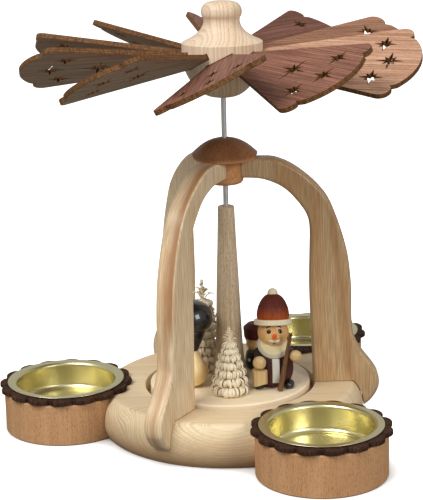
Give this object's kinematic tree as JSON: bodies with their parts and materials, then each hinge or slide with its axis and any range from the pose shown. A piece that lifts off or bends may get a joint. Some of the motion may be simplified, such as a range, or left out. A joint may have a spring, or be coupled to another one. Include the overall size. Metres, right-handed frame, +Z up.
{
  "type": "candle carousel",
  "caption": "Wooden candle carousel: arched legs on a round base, tealight holders round it, and a bladed rotor that turns a table of small figures.",
  "frame": {"origin": "centre of the round base's underside, on the spindle's axis", "axes": "+Z up along the spindle, +X towards the leg at the right of the picture, the picture's camera looks along +Y"},
  "size_m": [0.1701, 0.1692, 0.1705],
  "materials": {
    "base_ash": "satin, pale ash with a wavy grain",
    "leg_ash": "satin, straight-grained",
    "beech": "satin, flecked beech",
    "crown_beech": "satin, orange-tan",
    "walnut": "open-grained dark walnut",
    "cap_brown": "satin walnut brown",
    "column_wood": "satin, brown-beige",
    "turntable_wood": "satin, pale",
    "rotor_maple": "satin, very pale",
    "blade_ply": "reddish-brown plywood with charred-looking orange edges",
    "shavings": "raw curled shavings",
    "natural_wood": "satin, plain turned wood",
    "cream_paint": "satin cream paint on wood",
    "maroon_paint": "gloss maroon paint on wood",
    "red_paint": "gloss dark red paint on wood",
    "black_gloss": "gloss black paint on wood",
    "staff_wood": "rough brown twig",
    "dowel_wood": "raw dowel",
    "gold_metal": "bright gold-coloured sheet with a satin rim",
    "steel": "drawn wire",
    "brass": "turned"
  },
  "bodies": {
    "stand": {"base_disc": "base_ash", "pivot_cup": "brass", "crown_hub": "crown_beech", "crown_bush": "brass", "crown_cap": "cap_brown", "leg_1": "leg_ash", "leg_dowel_1": "dowel_wood", "holder_1": "beech", "holder_ring_1": "walnut", "tealight_cup_1": "gold_metal", "holder_dowel_1": "dowel_wood", "leg_2": "leg_ash", "leg_dowel_2": "dowel_wood", "holder_2": "beech", "holder_ring_2": "walnut", "tealight_cup_2": "gold_metal", "holder_dowel_2": "dowel_wood", "leg_3": "leg_ash", "leg_dowel_3": "dowel_wood", "holder_3": "beech", "holder_ring_3": "walnut", "tealight_cup_3": "gold_metal", "holder_dowel_3": "dowel_wood"},
    "carousel": {"spindle": "steel", "turntable": "turntable_wood", "column": "column_wood", "rotor_hub": "rotor_maple", "bearded_figure_coat": "maroon_paint", "bearded_figure_head": "natural_wood", "bearded_figure_beard": "cream_paint", "bearded_figure_brim": "cream_paint", "bearded_figure_hat": "red_paint", "bearded_figure_pompom": "cream_paint", "bearded_figure_boot_left": "black_gloss", "bearded_figure_boot_right": "black_gloss", "bearded_figure_sleeve_left": "maroon_paint", "bearded_figure_sleeve_right": "maroon_paint", "bearded_figure_hand_left": "natural_wood", "bearded_figure_hand_right": "natural_wood", "bearded_figure_sack": "natural_wood", "bearded_figure_staff": "staff_wood", "round_figure_body": "natural_wood", "round_figure_hair": "black_gloss", "round_figure_cap": "black_gloss", "small_figure_coat": "black_gloss", "small_figure_head": "natural_wood", "small_figure_hat": "maroon_paint", "front_tree": "shavings", "tall_tree": "shavings", "blade_01": "blade_ply", "blade_02": "blade_ply", "blade_03": "blade_ply", "blade_04": "blade_ply", "blade_05": "blade_ply", "blade_06": "blade_ply", "blade_07": "blade_ply", "blade_08": "blade_ply", "blade_09": "blade_ply", "blade_10": "blade_ply"}
  },
  "joints": [
    {"name": "carousel_spin", "type": "hinge", "parent": "stand", "child": "carousel", "pos_m": [0, 0, 0.0095], "axis": [0, 0, 1], "continuous": true}
  ]
}
